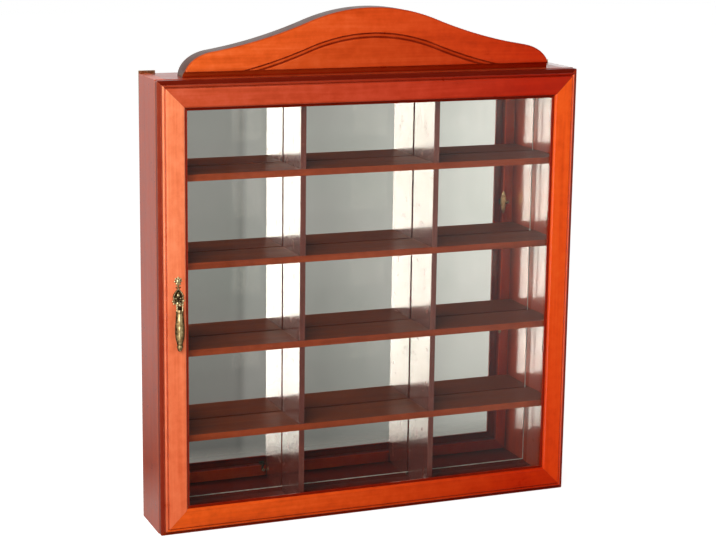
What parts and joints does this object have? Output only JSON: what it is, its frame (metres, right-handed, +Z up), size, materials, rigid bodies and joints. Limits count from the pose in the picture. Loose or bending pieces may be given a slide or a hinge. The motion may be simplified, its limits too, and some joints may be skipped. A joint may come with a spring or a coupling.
{
  "type": "wall display cabinet",
  "caption": "Shallow wall-hung display cabinet with mirrored back, shelves and dividers, hinged framed glass door with brass pull, and arched crest.",
  "frame": {"origin": "on the wall plane, midway between the round entries of the two keyholes", "axes": "+Z up, the front faces -Y, +Y into the wall, +X to the right as seen from the front"},
  "size_m": [0.5448, 0.0948, 0.625],
  "materials": {
    "cherry_case": "satin red-brown stain and lacquer",
    "dark_cherry": "dark red-brown stain and lacquer",
    "back_board": "plain board",
    "beech": "raw",
    "mirror": "silvered, bevelled edge",
    "glass": "clear float glass",
    "antique_brass": "aged, darkened in the hollows",
    "plated_steel": "zinc plated"
  },
  "bodies": {
    "cabinet": {"left_side_panel": "cherry_case", "right_side_panel": "cherry_case", "top_panel": "cherry_case", "bottom_panel": "cherry_case", "back_panel": "back_board", "mirror_glass": "mirror", "left_divider": "dark_cherry", "right_divider": "dark_cherry", "shelf_1": "dark_cherry", "shelf_2": "dark_cherry", "shelf_3": "dark_cherry", "shelf_4": "dark_cherry", "case_dowels": "beech", "back_screws": "plated_steel", "hanging_plates": "antique_brass", "hanging_screws": "antique_brass", "crest": "cherry_case", "crest_dowels": "beech", "upper_hinge_case_leaf": "antique_brass", "lower_hinge_case_leaf": "antique_brass", "upper_hinge_pin": "antique_brass", "lower_hinge_pin": "antique_brass", "hinge_case_screws": "antique_brass", "catch_magnet": "plated_steel"},
    "door": {"left_stile": "cherry_case", "right_stile": "cherry_case", "top_rail": "cherry_case", "bottom_rail": "cherry_case", "door_glass": "glass", "glass_clips": "antique_brass", "clip_screws": "antique_brass", "upper_hinge_door_leaf": "antique_brass", "lower_hinge_door_leaf": "antique_brass", "hinge_door_screws": "antique_brass", "strike_disc": "plated_steel", "strike_screw": "plated_steel", "pull_backplate": "antique_brass", "pull_eye_bolt": "antique_brass", "pull_nut": "antique_brass"},
    "pull": {"pull_drop": "antique_brass"}
  },
  "joints": [
    {"name": "door_hinge", "type": "hinge", "parent": "cabinet", "child": "door", "pos_m": [0.2726, -0.0692, -0.2505], "axis": [0, 0, 1], "range_deg": [0, 160]},
    {"name": "pull_swing", "type": "hinge", "parent": "door", "child": "pull", "pos_m": [-0.2484, -0.0916, -0.238], "axis": [-1, 0, 0], "range_deg": [0, 85]}
  ]
}
